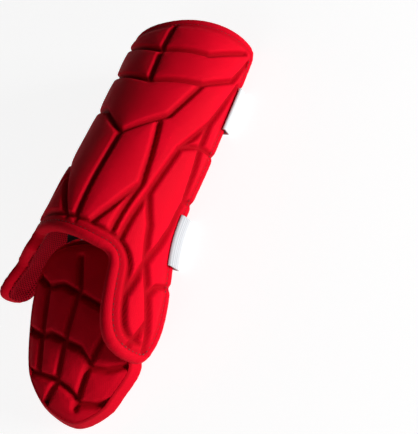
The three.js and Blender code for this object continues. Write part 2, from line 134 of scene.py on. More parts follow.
footTurn = np.array(
    Matrix.Rotation(math.radians(footForm["yaw"]), 3, "Z")
    @ Matrix.Rotation(math.radians(footForm["pitch"]), 3, "X")
    @ Matrix.Rotation(math.radians(footForm["roll"]), 3, "Y")
)
footOrigin = np.array(footForm["origin"], float) + (0, 0, shellForm["wallLift"])


def footDome(across, along):
    acrossShare = (across / footForm["halfWidth"]) ** 2
    alongShare = ((along - footForm["middle"]) / footForm["halfLength"]) ** 2
    return footForm["dome"] * np.maximum(1 - acrossShare, 0) * np.maximum(1 - alongShare, 0)


# y runs from the toe to the ankle, so it is minus the way along
def placeOnFoot(across, y, depth):
    crown = footForm["crown"] * (across / footForm["halfWidth"]) ** 2
    height = footDome(across, -y) - crown + footForm["panelTop"] - depth
    return np.stack([across, y, height], axis=-1) @ footTurn.T + footOrigin


# flat pattern tools
outlineStep = 2.0  # millimetres between the points of an outline


def bezier(points, count=40):
    share = np.linspace(0, 1, count)[:, None]
    rows = [np.array(point, float) for point in points]
    while len(rows) > 1:
        rows = [a + (b - a) * share for a, b in zip(rows[:-1], rows[1:])]
    return rows[0]


def evenly(line, step):
    runs = np.r_[0, np.cumsum(np.linalg.norm(np.diff(line, axis=0), axis=1))]
    marks = np.linspace(0, runs[-1], max(2, round(runs[-1] / step)) + 1)
    return np.stack([np.interp(marks, runs, column) for column in line.T], axis=1)


def closedCurve(points, perSpan=14):  # centripetal, through every point
    points = np.array(points, float)
    count = len(points)
    result = []
    for i in range(count):
        p = [points[(i + k - 1) % count] for k in range(4)]
        t = np.cumsum([0] + [np.linalg.norm(b - a) ** 0.5 for a, b in zip(p[:-1], p[1:])])
        for s in np.linspace(t[1], t[2], perSpan, endpoint=False):
            mix = p
            for span in (1, 2):
                pairs = enumerate(zip(mix[:-1], mix[1:]))
                mix = [
                    ((t[k + span] - s) * a + (s - t[k]) * b) / (t[k + span] - t[k])
                    for k, (a, b) in pairs
                ]
            result.append(((t[2] - s) * mix[0] + (s - t[1]) * mix[1]) / (t[2] - t[1]))
    return np.array(result)


def closeLoop(loop):
    return np.vstack([loop, loop[:1]])


def inwardNormals(loop):
    along = np.roll(loop, -1, axis=0) - np.roll(loop, 1, axis=0)
    along /= np.linalg.norm(along, axis=1)[:, None]
    return np.stack([along[:, 1], -along[:, 0]], axis=1)


def nearestOn(points, lines):
    markStep = 0.4
    marks = np.vstack([evenly(line, markStep) for line in lines])
    tree = kdtree.KDTree(len(marks))
    for i, (x, y) in enumerate(marks):
        tree.insert((x, y, 0), i)
    tree.balance()
    found = [tree.find((x, y, 0))[1:] for x, y in points]
    return marks[[mark for mark, gap in found]], np.array([gap for mark, gap in found])


def distanceTo(points, lines):
    return nearestOn(points, lines)[1]


def insideLoop(points, loop):
    inside = np.zeros(len(points), bool)
    x, y = points.T
    tiny = 1e-12  # keeps level spans from dividing by nothing
    for a, b in zip(loop, np.roll(loop, -1, axis=0)):
        crosses = (a[1] > y) != (b[1] > y)
        inside ^= crosses & (x < a[0] + (b[0] - a[0]) * (y - a[1]) / (b[1] - a[1] + tiny))
    return inside


def ripple(run, lengths, seed):  # a soft uneven wave along a run
    phaseStep = 1.7
    waves = []
    for k, length in enumerate(lengths):
        phase = seed * (k + 1) * phaseStep
        waves.append(np.sin(2 * np.pi * run / length + phase))
    return sum(waves) / len(lengths)


def waver(x, y, acrossWave, alongWave):  # each wave has a slant, its lengths and a seed
    slant, lengths, seed = acrossWave
    first = ripple(x + slant * y, lengths, seed)
    slant, lengths, seed = alongWave
    return first * ripple(y + slant * x, lengths, seed)


# mesh tools
patternSpan = 500  # millimetres of flat pattern across one UV square
weldGap = 0.02  # millimetres


def flatGrid(low, high, cell):
    size = np.subtract(high, low)
    count = [max(1, round(side / cell)) for side in size]
    middle = np.add(low, high) / 2
    place = Matrix.Translation((*middle, 0)) @ Matrix.Diagonal((*size, 1, 1))
    bm = bmesh.new()
    bmesh.ops.create_grid(bm, x_segments=count[0], y_segments=count[1], size=0.5, matrix=place)
    return bm


# cuts a grid to a line inside the loop, and draws its edge onto that line
def trimTo(bm, loop, inward):
    ring = [closeLoop(loop)]
    centres = np.array([face.calc_center_median()[:2] for face in bm.faces])
    keep = insideLoop(centres, loop) & (distanceTo(centres, ring) > inward)
    bm.faces.ensure_lookup_table()
    bmesh.ops.delete(bm, geom=[bm.faces[i] for i in np.flatnonzero(~keep)], context="FACES")
    rim = [vert for vert in bm.verts if vert.is_boundary]
    flat = np.array([vert.co[:2] for vert in rim])
    spots, gaps = nearestOn(flat, ring)
    for vert, (x, y) in zip(rim, spots + (flat - spots) * (inward / gaps)[:, None]):
        vert.co = (x, y, 0)


def meshFrom(name, bm):
    mesh = bpy.data.meshes.new(name)
    bm.to_mesh(mesh)
    bm.free()
    return mesh


def addObject(name, data):
    made = bpy.data.objects.new(name, data)
    bpy.context.scene.collection.objects.link(made)
    return made


# shape gives each flat point its place and how pressed it is, which also sets the painted shade
# there
def dress(name, bm, shape, look, node=None, weld=False):
    mesh = meshFrom(name, bm)
    flat = np.zeros(len(mesh.vertices) * 3)
    mesh.vertices.foreach_get("co", flat)
    flat = flat.reshape(-1, 3)
    isBack = np.abs(flat[:, 2]) > 0.5  # the back of a thick grid lies one off its front
    placed, pressedShade = shape(flat[:, :2], isBack)
    corners = np.zeros(len(mesh.loops), int)
    mesh.loops.foreach_get("vertex_index", corners)
    pattern = mesh.uv_layers.new(name="pattern")
    pattern.uv.foreach_set("vector", (flat[corners, :2] / patternSpan + 0.5).ravel())
    # the pressed share is kept on the points, and the looks paint shade with it
    mesh.attributes.new("pressedShade", "FLOAT", "POINT").data.foreach_set("value", pressedShade)
    mesh.vertices.foreach_set("co", ((placed + shift) * mm).ravel())
    return finishPiece(name, mesh, look, node, weld)


def finishPiece(name, mesh, look, node=None, weld=False):
    bm = bmesh.new()
    bm.from_mesh(mesh)
    if weld:
        bmesh.ops.remove_doubles(bm, verts=bm.verts[:], dist=weldGap * mm)
    bmesh.ops.recalc_face_normals(bm, faces=bm.faces[:])
    for face in bm.faces:
        face.smooth = True
    bm.to_mesh(mesh)
    bm.free()
    mesh.materials.append(look.material)
    piece = addObject(name, mesh)
    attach(piece, "root")
    if node:
        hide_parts(node)
    return piece


# shader tools
class Wire:  # a socket that takes part in sums
    def __init__(self, look, socket):
        self.look = look
        self.socket = socket

    def sum(self, operation, a, b):
        return self.look.node("ShaderNodeMath", {"operation": operation}, {0: a, 1: b})

    def __add__(self, other):
        return self.sum("ADD", self, other)

    def __sub__(self, other):
        return self.sum("SUBTRACT", self, other)

    def __rsub__(self, other):
        return self.sum("SUBTRACT", other, self)

    def __mul__(self, other):
        return self.sum("MULTIPLY", self, other)

    __radd__ = __add__
    __rmul__ = __mul__

    def sine(self):
        return self.look.node("ShaderNodeMath", {"operation": "SINE"}, {0: self})

    def smooth(self, low, high):
        settings = {"interpolation_type": "SMOOTHSTEP"}
        inputs = {"Value": self, "From Min": low, "From Max": high}
        return self.look.node("ShaderNodeMapRange", settings, inputs)


class Look:  # a material and its nodes
    def __init__(self, name, constants):
        self.material = bpy.data.materials.new(name)
        self.material.use_nodes = True
        self.tree = self.material.node_tree
        self.shader = self.tree.nodes["Principled BSDF"]
        for socket, value in constants.items():
            self.shader.inputs[socket].default_value = value

    def node(self, kind, settings, inputs, output=0):
        made = self.tree.nodes.new(kind)
        for key, value in settings.items():
            setattr(made, key, value)
        for key, value in inputs.items():
            if isinstance(value, Wire):
                self.tree.links.new(value.socket, made.inputs[key])
            else:
                made.inputs[key].default_value = value
        return Wire(self, made.outputs[output])

    def feed(self, socket, wire):
        self.tree.links.new(wire.socket, self.shader.inputs[socket])

    def patternAxes(self):  # millimetres across and along the flat pattern
        uv = self.node("ShaderNodeUVMap", {"uv_map": "pattern"}, {})
        parts = [self.node("ShaderNodeSeparateXYZ", {}, {0: uv}, axis) for axis in (0, 1)]
        return [part * patternSpan for part in parts]

    def cloud(self, scale, detail=3):
        place = self.node("ShaderNodeTexCoord", {}, {}, "Object")
        inputs = {"Vector": place, "Scale": scale, "Detail": detail}
        return self.node("ShaderNodeTexNoise", {}, inputs)

    # the pressed share of each point, which the looks use for painted shade in grooves
    def pressedShade(self):
        return self.node("ShaderNodeAttribute", {"attribute_name": "pressedShade"}, {}, "Fac")

    def mixed(self, share, first, second):  # 6, 7 and 2 are the node's colour sockets
        settings = {"data_type": "RGBA"}
        return self.node("ShaderNodeMix", settings, {"Factor": share, 6: first, 7: second}, 2)

    def bump(self, height, distance):
        inputs = {"Height": height, "Distance": distance * mm}
        self.feed("Normal", self.node("ShaderNodeBump", {}, inputs))


def rgb(red, green, blue):
    return (red, green, blue, 1)


# the darkest red is painted shade, mixed in where the knit is pressed in: channels, the border
# under the roll, the stitch line and the pinches
knit = {
    "red": rgb(0.68, 0.0016, 0.016), "deepRed": rgb(0.46, 0.001, 0.008),
    "paintedShadeRed": rgb(0.25, 0.001, 0.004), "pressedShade": 0.7, "edgeShare": 0.92,
    "sheen": 0.02, "sheenTint": rgb(1, 0.06, 0.10), "specular": 0.03,
    "rough": 0.62, "patchRough": 0.14, "patch": 22, "patchRange": (0.3, 0.7),
    "wale": 1.5, "course": 1.1, "lean": 1.3, "bump": 0.12,
    "legShare": 0.35, "patchShare": 0.25, "loopShare": 0.2, "plainShare": 0.55,
}


def knitLook(name, redShare=1.0):
    red = rgb(*(redShare * value for value in knit["red"][:3]))
    look = Look(name, {
        "Sheen Weight": knit["sheen"], "Sheen Tint": knit["sheenTint"],
        "Specular IOR Level": knit["specular"],
    })
    across, along = look.patternAxes()
    leg = (across * (2 * math.pi / knit["wale"])).sine()
    row = (along * (2 * math.pi / knit["course"]) + leg * knit["lean"]).sine()
    loops = (row * 0.5 + 0.5) * (leg * knit["legShare"] + (1 - knit["legShare"]))
    patch = look.cloud(knit["patch"]).smooth(*knit["patchRange"])
    tone = patch * knit["patchShare"] + loops * knit["loopShare"] + knit["plainShare"]
    cloth = look.mixed(tone, knit["deepRed"], red)
    # painted shade: pressed places turn to the dark red
    look.feed("Base Color", look.mixed(look.pressedShade() * knit["pressedShade"], cloth, knit["paintedShadeRed"]))
    look.feed("Roughness", knit["rough"] + knit["patchRough"] * patch)
    look.bump(loops, knit["bump"])
    return look


lining = {
    "thread": rgb(0.50, 0.003, 0.018), "dullThread": rgb(0.38, 0.002, 0.012),
    "hole": rgb(0.12, 0.0008, 0.003), "rough": 0.8, "specular": 0.02,
    "shinPitch": 2.6, "footPitch": 4.4, "cellRange": (-0.9, 0.9), "bump": 0.5,
    "patch": 30, "patchRange": (0.25, 0.75),
}


def honeycombLook(name, pitch):  # three waves at sixty degrees make the cells of the mesh
    look = Look(name, {"Roughness": lining["rough"], "Specular IOR Level": lining["specular"]})
    across, along = look.patternAxes()
    turn = 4 * math.pi / (math.sqrt(3) * pitch)
    waves = []
    for angle in (0, 60, 120):
        x, y = math.cos(math.radians(angle)), math.sin(math.radians(angle))
        waves.append((across * (turn * x) + along * (turn * y) + math.pi / 2).sine())
    cells = (waves[0] + waves[1] + waves[2]).smooth(*lining["cellRange"])
    patch = look.cloud(lining["patch"]).smooth(*lining["patchRange"])
    thread = look.mixed(patch, lining["dullThread"], lining["thread"])
    look.feed("Base Color", look.mixed(cells, thread, lining["hole"]))
    look.bump(1 - cells, lining["bump"])
    return look


# the darkest grey is painted shade for the rib grooves, the sewn rows and the tab seams
webbing = {
    "band": {"white": rgb(0.62, 0.63, 0.64), "shade": rgb(0.48, 0.50, 0.53), "rough": 0.5},
    "elastic": {"white": rgb(0.68, 0.68, 0.68), "shade": rgb(0.50, 0.51, 0.53), "rough": 0.62},
    "tab": {"white": rgb(0.60, 0.63, 0.67), "shade": rgb(0.48, 0.52, 0.58), "rough": 0.34},
    "seam": rgb(0.24, 0.25, 0.28), "pressedShade": 0.7, "sheen": 0.15, "specular": 0.4,
    "patch": 45, "patchRange": (0.3, 0.7), "patchRough": 0.12,
    "pick": 0.9, "lean": 0.8, "bump": 0.08,
    "weft": 0.3, "warp": 0.2, "weaveShare": 0.55, "patchShare": 0.25, "plainShare": 0.2,
}


def webbingLook(name, cloth):
    look = Look(name, {"Sheen Weight": webbing["sheen"], "Specular IOR Level": webbing["specular"]})
    across, along = look.patternAxes()
    weft = (across * (2 * math.pi / webbing["pick"])).sine()
    warp = (along * (2 * math.pi / (2 * webbing["pick"])) + weft * webbing["lean"]).sine()
    weave = weft * webbing["weft"] + warp * webbing["warp"] + 0.5
    patch = look.cloud(webbing["patch"]).smooth(*webbing["patchRange"])
    tone = weave * webbing["weaveShare"] + patch * webbing["patchShare"] + webbing["plainShare"]
    woven = look.mixed(tone, cloth["shade"], cloth["white"])
    # painted shade: pressed places turn to the dark seam colour
    look.feed("Base Color", look.mixed(look.pressedShade() * webbing["pressedShade"], woven, webbing["seam"]))
    look.feed("Roughness", cloth["rough"] + webbing["patchRough"] * patch)
    look.bump(weave, webbing["bump"])
    return look


blackElastic = {
    "dark": rgb(0.003, 0.003, 0.003), "bright": rgb(0.016, 0.016, 0.018),
    "sheen": 0.1, "specular": 0.25, "rough": 0.7, "toneRough": 0.2, "bump": 0.2,
    "rib": 1.6, "pick": 1.1, "lean": 2, "ribShare": 0.6, "pickShare": 0.4,
}


def blackElasticLook():
    e = blackElastic
    look = Look("black elastic", {"Sheen Weight": e["sheen"], "Specular IOR Level": e["specular"]})
    across, along = look.patternAxes()
    ridges = (across * (2 * math.pi / e["rib"])).sine() * 0.5 + 0.5
    picks = (along * (2 * math.pi / e["pick"]) + ridges * e["lean"]).sine() * 0.5 + 0.5
    tone = ridges * e["ribShare"] + picks * e["pickShare"]
    look.feed("Base Color", look.mixed(tone, e["dark"], e["bright"]))
    look.feed("Roughness", e["rough"] + e["toneRough"] * tone)
    look.bump(tone, e["bump"])
    return look


sewing = {  # dark and bright of each thread
    "red": (rgb(0.10, 0.001, 0.003), rgb(0.22, 0.002, 0.006)),
    "white": (rgb(0.55, 0.57, 0.60), rgb(0.75, 0.76, 0.78)),
    "sheen": 0.2, "specular": 0.3, "twist": 900, "twistRange": (0.35, 0.65),
    "rough": 0.55, "twistRough": 0.2,
}


def threadLook(name, dark, bright):
    look = Look(name, {"Sheen Weight": sewing["sheen"], "Specular IOR Level": sewing["specular"]})
    twist = look.cloud(sewing["twist"], 1).smooth(*sewing["twistRange"])
    look.feed("Base Color", look.mixed(twist, dark, bright))
    look.feed("Roughness", sewing["rough"] + sewing["twistRough"] * twist)
    return look


panelLook = knitLook("moulded red knit")
edgeLook = knitLook("rolled red knit", knit["edgeShare"])
shinMeshLook = honeycombLook("fine red mesh", lining["shinPitch"])
footMeshLook = honeycombLook("coarse red mesh", lining["footPitch"])
bandLook = webbingLook("white webbing", webbing["band"])
elasticLook = webbingLook("white elastic", webbing["elastic"])
tabLook = webbingLook("satin tab", webbing["tab"])
blackLook = blackElasticLook()
redThread = threadLook("red thread", *sewing["red"])
whiteThread = threadLook("white thread", *sewing["white"])
print("materials made")

# edges: a rolled section, inward and down from the outline, and the border of the pad beside it
shinEdge = {
    "section": (
        (9.3, 4.4), (9.0, 2.5), (8.4, 2.65), (7.6, 2.0), (5.6, 1.5), (3.4, 1.8), (1.2, 3.5),
        (0, 6.7), (1.0, 9.9), (3.6, 11.6), (6.8, 11.9), (8.6, 11.5), (9.3, 10.2), (9.2, 7.4),
    ),
    "tuck": 3.0, "tuckDepth": 5.2, "border": 2.1, "borderFrom": 9.4, "borderTo": 17,
    "groove": {"at": 15, "floor": 0.6, "half": 3.1, "top": (98, 114), "side": (86, 96)},
    "stitchInward": 8.5, "stitchDepth": 2.35, "under": 11.85, "pinchUps": (286, 207, 155, 75),
}
footEdge = {
    "section": (
        (7.5, 4.0), (7.4, 1.3), (6.7, 0.7), (5.9, 1.1), (3.2, 4.5), (0.8, 8.0), (0, 9.8),
        (0.9, 11.2), (3.4, 11.7), (6.6, 11.6), (7.6, 10.4), (7.6, 7.0),
    ),
    "tuck": 5.2, "tuckDepth": 4.4, "border": 0.8, "borderFrom": 7.6, "borderTo": 12,
    "groove": None,
    "stitchInward": 5.6, "stitchDepth": 11.7, "under": 11.7, "pinchUps": (),
}

# moulded pads: raised panels with pressed channels, and a border that runs under the rolled edge
pad = {
    "cell": 1.4, "channel": 4.4, "floor": 0.6, "shoulder": 4.1, "crown": 0.9, "crownRun": 9,
    "foamBack": 8.7, "tuckEnd": 0.6,
    "waver": 0.16, "waves": ((0.4, (31, 19, 47), 1.3), (-0.3, (37, 23, 53), 0.7)),
    "pucker": 0.11, "puckerLengths": (6.5, 9.1), "puckerSeed": 2.1, "puckerAt": 4, "puckerHalf": 4,
}


def panelDepth(flat, edge, reach, groove):
    x, y = flat.T
    slope = 1 - smoothStep(edge["borderFrom"], edge["borderTo"], reach)
    pressedShade = 1 - smoothStep(pad["floor"], pad["shoulder"], groove)
    if edge["groove"]:  # beside the roll of the lobes, on the arch's side
        ring = edge["groove"]
        along = 1 - smoothStep(ring["floor"], ring["half"], np.abs(reach - ring["at"]))
        along *= (1 - smoothStep(*ring["top"], y)) * (1 - smoothStep(*ring["side"], np.abs(x)))
        pressedShade = np.maximum(pressedShade, along)
    border = slope * edge["border"] / pad["channel"]
    depth = pad["channel"] * (1 - (1 - border) * (1 - pressedShade))
    rise = np.minimum(groove, np.maximum(reach - edge["borderFrom"], 0))
    depth -= pad["crown"] * (1 - np.exp(-(rise / pad["crownRun"]) ** 2))
    underRoll = 1 - smoothStep(edge["tuck"], edge["borderFrom"] - pad["tuckEnd"], reach)
    depth += (edge["tuckDepth"] - edge["border"]) * underRoll
    beside = np.exp(-(((groove - pad["puckerAt"]) / pad["puckerHalf"]) ** 2))
    pucker = ripple(x - y, pad["puckerLengths"], pad["puckerSeed"]) * beside
    depth = depth + pad["waver"] * waver(x, y, *pad["waves"]) + pad["pucker"] * pucker
    # the pressed share also paints shade into the channels and onto the border sloping under the
    # roll
    return depth, np.maximum(pressedShade, border * slope)


def mouldedPad(name, loop, channels, edge, place):
    bm = flatGrid(loop.min(0), loop.max(0), pad["cell"])
    trimTo(bm, loop, edge["tuck"])
    bmesh.ops.solidify(bm, geom=bm.faces[:], thickness=1)

    def shape(flat, back):
        reach = distanceTo(flat, [closeLoop(loop)])
        depth, pressedShade = panelDepth(flat, edge, reach, distanceTo(flat, channels))
        depth = np.where(back, pad["foamBack"], depth)
        return place(flat[:, 0], flat[:, 1], depth), np.where(back, 0, pressedShade)

    piece = dress(name + "_moulded", bm, shape, panelLook, name + "_pad")
    print("moulded pad:", piece.name, len(piece.data.polygons), "faces")


# lining: a thin mesh cloth stretched over the back of the foam, and over the roll inside the lobes
liningSheet = {
    "cell": 2.2, "tuck": 5.5, "front": 9.2, "back": 10.8,
    "waver": 0.25, "waves": ((1, (29, 41), 0.9), (-1, (35, 23), 1.9)),
    "lobeTop": (66, 84), "lobeTuck": 2.4, "lobeRise": 1.9, "lobeFrom": (8.4, 11),
    "curl": 0.5, "curlTo": 4.4,
    # metres and square metres before stretching
    "cuts": {"shin": ((0.198, 0.322), 0.053), "foot": ((0.099, 0.148), 0.0116)},
}


def stretchedLining(name, loop, place, look, overLobes=0):
    bm = flatGrid(loop.min(0), loop.max(0), liningSheet["cell"])
    trimTo(bm, loop, liningSheet["lobeTuck"] if overLobes else liningSheet["tuck"])
    bmesh.ops.solidify(bm, geom=bm.faces[:], thickness=1)

    def shape(flat, back):
        x, y = flat.T
        lobe = overLobes * (1 - smoothStep(*liningSheet["lobeTop"], y))
        reach = distanceTo(flat, [closeLoop(loop)])
        rise = liningSheet["lobeRise"] * (1 - smoothStep(*liningSheet["lobeFrom"], reach))
        rim = 1 - smoothStep(liningSheet["lobeTuck"], liningSheet["curlTo"], reach)
        rise -= liningSheet["curl"] * rim
        loose = liningSheet["back"] + liningSheet["waver"] * waver(x, y, *liningSheet["waves"])
        depth = np.where(back, loose, liningSheet["front"]) + lobe * rise
        return place(x, y, depth), np.zeros(len(flat))

    piece = dress(name + "_mesh", bm, shape, look, name + "_lining")
    print("lining:", piece.name)


# rolled edge: a section carried round the outline, gathered where the outline turns
roll = {
    "step": 1.6, "around": 34, "perSpan": 8, "outer": (8.5, 3), "seamHalf": 0.7, "seamAbove": 5,
    "gather": 0.16, "gatherLengths": (5.2, 7.7, 11.3), "gatherSeed": 1.1,
    "turnGather": 0.55, "turnSteps": 6, "sideways": 0.35,
    "stitchLength": 2.5, "stitchGap": 1.5, "stitchWide": 0.85, "stitchStep": 1.0,
    # channels draw the roll in where they reach the sides
    "pinch": 2.2, "pinchHalf": 3.0, "pinchFrom": 95, "pinchDepths": (9, 5), "pinchShade": 0.7,
}


def turning(loop, reach):
    ahead = np.roll(loop, -reach, axis=0) - loop
    behind = loop - np.roll(loop, reach, axis=0)
    cross = behind[:, 0] * ahead[:, 1] - behind[:, 1] * ahead[:, 0]
    lengths = np.linalg.norm(ahead, axis=1) * np.linalg.norm(behind, axis=1)
    return np.clip(np.abs(cross) / lengths, 0, 1)


def rolledEdge(name, loop, edge, place):
    ring = evenly(closeLoop(loop), roll["step"])[:-1]
    inward = inwardNormals(ring)
    section = closeLoop(closedCurve(edge["section"], roll["perSpan"]))
    girth = np.linalg.norm(np.diff(section, axis=0), axis=1).sum()
    section = evenly(section, girth / roll["around"])[:-1]
    run = np.arange(len(ring)) * roll["step"]
    strength = roll["gather"] + roll["turnGather"] * turning(ring, roll["turnSteps"])
    gathers = strength * ripple(run, roll["gatherLengths"], roll["gatherSeed"])
    bm = flatGrid((0, 0), (len(ring), len(section)), 1)

    def shape(flat, back):
        at = np.rint(flat[:, 0]).astype(int) % len(ring)
        turn = np.rint(flat[:, 1]).astype(int) % len(section)
        reach, depth = section[turn].T
        outer = smoothStep(*roll["outer"], reach)
        drawn = reach + roll["sideways"] * gathers[at] * outer
        flatPoint = ring[at] + inward[at] * drawn[:, None]
        # painted shade along the stitch line, and at the pinches below
        seam = np.exp(-(((reach - edge["stitchInward"]) / roll["seamHalf"]) ** 2))
        seam *= depth < roll["seamAbove"]
        pinch = np.zeros(len(flat))
        for up in edge["pinchUps"]:
            pinch += np.exp(-(((flatPoint[:, 1] - up) / roll["pinchHalf"]) ** 2))
        pinch *= np.abs(flatPoint[:, 0]) > roll["pinchFrom"]
        pinch *= smoothStep(*roll["pinchDepths"], depth)
        depth = depth - gathers[at] * outer + roll["pinch"] * pinch
        pressedShade = np.maximum(seam, roll["pinchShade"] * pinch)
        return place(flatPoint[:, 0], flatPoint[:, 1], depth), pressedShade

    node = name + "_binding"
    piece = dress(name + "_rolled_edge", bm, shape, edgeLook, node, True)
    print("rolled edge:", piece.name)


stitch = {"flatten": 0.7, "sides": 8, "rings": 5}


def addStitches(bm, points, normals, settings):  # short rounded stitches along a line of points
    pitch = settings["stitchLength"] + settings["stitchGap"]
    line = evenly(points, pitch)
    facing = evenly(np.hstack([points, normals]), pitch)[:, -3:]
    for i in range(len(line) - 1):
        middle = Vector((line[i] + line[i + 1]) / 2)
        along = Vector(line[i + 1] - line[i]).normalized()
        out = Vector(facing[i])
        side = out.cross(along).normalized()
        out = along.cross(side)
        turn = Matrix((along, side, out)).transposed().to_4x4()
        wide = settings["stitchWide"]
        size = Matrix.Diagonal((settings["stitchLength"], wide, wide * stitch["flatten"], 1))
        place = Matrix.Scale(mm, 4) @ Matrix.Translation(middle + Vector(shift)) @ turn @ size
        bmesh.ops.create_uvsphere(
            bm, u_segments=stitch["sides"], v_segments=stitch["rings"], radius=0.5, matrix=place
        )


def edgeStitching(name, loop, edge, place):  # points one millimetre above give the facing
    ring = evenly(closeLoop(loop), roll["stitchStep"])[:-1]
    flat = ring + inwardNormals(ring) * edge["stitchInward"]
    points, above, below = (
        closeLoop(place(flat[:, 0], flat[:, 1], np.full(len(flat), depth)))
        for depth in (edge["stitchDepth"], edge["stitchDepth"] - 1.0, edge["under"])
    )
    bm = bmesh.new()
    if edge["stitchDepth"] < edge["under"]:
        addStitches(bm, points, above - points, roll)
    addStitches(bm, below, points - above, roll)
    name += "_edge_stitching"
    finishPiece(name, meshFrom(name, bm), redThread)


# shin shell: its outline in the flat pattern, and its channels in degrees round and millimetres up
shinOutline = {
    "rimMiddle": 329, "rimCorner": 16, "sideEdge": shellForm["patternRadius"] * math.pi / 2,
    "archTop": 87, "bulge": 0.75, "round": 0.68, "leftLift": 18,
}
rightLobe = {
    "rimSlope": 0.1, "rimEnd": 334, "turnUp": 36,
    "tip": (95.5, 8), "low": (50, 69), "high": (50, 73), "shoulder": (40, 83),
}
leftLobe = {
    "rimSlope": -0.1, "rimEnd": 326, "turnUp": 37,
    "tip": (91, 21), "low": (64, 53.5), "high": (43, 69), "shoulder": (35, 83),
}
shinFront = (
    ((-74, 319), (-23, 296), (8, 287), (45, 293), (74, 319)),  # top seam
    ((9, 321), (8, 287), (11, 249)),  # top centre
    ((-72, 283), (-34, 262), (12, 249), (50, 261), (72, 283)),  # knee seam
    ((50, 261), (38, 217), (10.5, 188)),  # shield, right
    ((-67, 226), (-19, 214), (10.5, 188)),  # shield, left
    ((10.5, 188), (12, 100)),  # shin centre
    ((34, 206), (40, 173), (44, 147)),  # shin, right
    ((44, 147), (33, 119), (24, 101)),  # instep, right
    ((44, 147), (38, 101)),  # instep, outer
    ((-52, 162), (-33, 155), (-19, 138), (3, 101)),  # instep, left
    ((-22, 141), (-34, 104)),  # instep, left branch
)
shinFlank = (
    ((82, 315), (72, 283)),  # top corner
    ((80, 284), (69, 231), (55, 192), (51, 142), (44, 97)),  # flank
    ((69, 231), (70, 204)),  # flank fork
    ((55, 192), (62, 199), (70, 204), (83, 207)),  # flank shelf
    ((70, 204), (74, 181), (78, 152), (76, 124), (71, 106), (62.5, 86)),  # calf
    ((78, 152), (83, 155)),  # calf shelf
    ((51, 142), (60, 117), (62.5, 86), (69, 54), (72, 42), (79, 19)),  # ankle
    ((62.5, 86), (54, 56)),  # ankle cross
    ((72, 42), (66, 18)),  # lobe cross
    ((67.5, 61), (73, 70), (84.5, 75)),  # heel
)


def halfShinOutline(lobe):  # from the middle of the rim round one lobe to the top of the arch
    o = shinOutline
    side, corner, middle, rim = o["sideEdge"], o["rimCorner"], o["rimMiddle"], lobe["rimEnd"]
    turnUp, (tip, tipUp), (low, lowUp) = lobe["turnUp"], lobe["tip"], lobe["low"]
    high, (shoulder, shoulderUp) = lobe["high"], lobe["shoulder"]
    bulge, bend = o["bulge"], o["round"]
    spans = (
        ((0, middle), (side / 2, middle + lobe["rimSlope"] * side / 2), (side - corner, rim)),
        ((side - corner, rim), (side, rim), (side, rim - corner)),
        ((side, rim - corner), (side, turnUp)),
        (
            (side, turnUp), (side, turnUp - bulge * (turnUp - tipUp)),
            (tip + bend * (side - tip), tipUp), (tip, tipUp),
        ),
        (
            (tip, tipUp), (tip - bend * (tip - low), tipUp),
            (low, lowUp - bulge * (lowUp - tipUp)), (low, lowUp),
        ),
        ((low, lowUp), high),
        (high, (high[0], shoulderUp), (shoulder, shoulderUp)),
        ((shoulder, shoulderUp), (shoulder / 2, o["archTop"]), (0, o["archTop"])),
    )
    return np.vstack([bezier(span)[:-1] for span in spans] + [[(0, o["archTop"])]])


def shinChannels():
    radius = shellForm["patternRadius"]
    lines = [np.array(line, float) for line in shinFront + shinFlank]
    for line in shinFlank:  # the other flank, drawn up into its shorter lobe
        other = np.array(line, float) * (-1, 1)
        below = np.maximum(1 - other[:, 1] / shinOutline["archTop"], 0)
        other[:, 1] += shinOutline["leftLift"] * below
        lines.append(other)
    return [np.stack([np.radians(line[:, 0]) * radius, line[:, 1]], axis=1) for line in lines]


rightHalf = halfShinOutline(rightLobe)
leftHalf = halfShinOutline(leftLobe) * (-1, 1)
shinCurve = np.vstack([rightHalf[:-1], leftHalf[::-1][:-1]])
shinLoop = evenly(closeLoop(shinCurve), outlineStep)[:-1]
mouldedPad("shin", shinLoop, shinChannels(), shinEdge, placeOnShell)
stretchedLining("shin", shinLoop, placeOnShell, shinMeshLook, 1)
rolledEdge("shin", shinLoop, shinEdge, placeOnShell)
edgeStitching("shin", shinLoop, shinEdge, placeOnShell)

# foot pad: half widths for each step towards the toe, and its channels, across and along
footOutline = {
    "along": (0, 6, 20, 36, 56, 78, 98, 110, 119, 133.5, 147, 159),
    "left": (0, 30, 43, 50.5, 54.5, 55.5, 55, 53.5, 51, 42, 28.5, 0),
    "right": (0, 27, 36, 40, 43.5, 46, 50, 52, 49, 39, 28, 0),
}
footChannels = (
    ((-30, 42), (-15, 41), (4, 51), (30, 66)),  # ankle row
    ((-44, 30), (-30, 42), (-33, 80), (-35, 113)),  # left line
    ((0, 18), (2, 44), (-8, 81), (-16, 120), (-28, 140)),  # centre line
    ((-52, 77), (-33, 84), (-24, 82), (4, 94), (14, 108)),  # middle row
    ((26, 84), (12, 109), (4, 132), (1, 141)),  # right line
    ((-49, 112), (-18, 119), (-6, 126), (3, 135)),  # toe row
    ((13, 110), (27, 112), (49, 108)),  # toe, right
    ((3, 138), (18, 139), (31, 136)),  # toe end
)
footUps = np.negative(footOutline["along"])
footRight = np.stack([footOutline["right"], footUps], axis=1)[:-1]
footLeft = np.stack([np.negative(footOutline["left"]), footUps], axis=1)[1:]
footCurve = closedCurve(np.vstack([footRight, footLeft[::-1]]))
footLoop = evenly(closeLoop(footCurve), outlineStep)[:-1]
footLines = [np.array(line, float) * (1, -1) for line in footChannels]
mouldedPad("foot", footLoop, footLines, footEdge, placeOnFoot)
stretchedLining("foot", footLoop, placeOnFoot, footMeshLook)
rolledEdge("foot", footLoop, footEdge, placeOnFoot)
edgeStitching("foot", footLoop, footEdge, placeOnFoot)


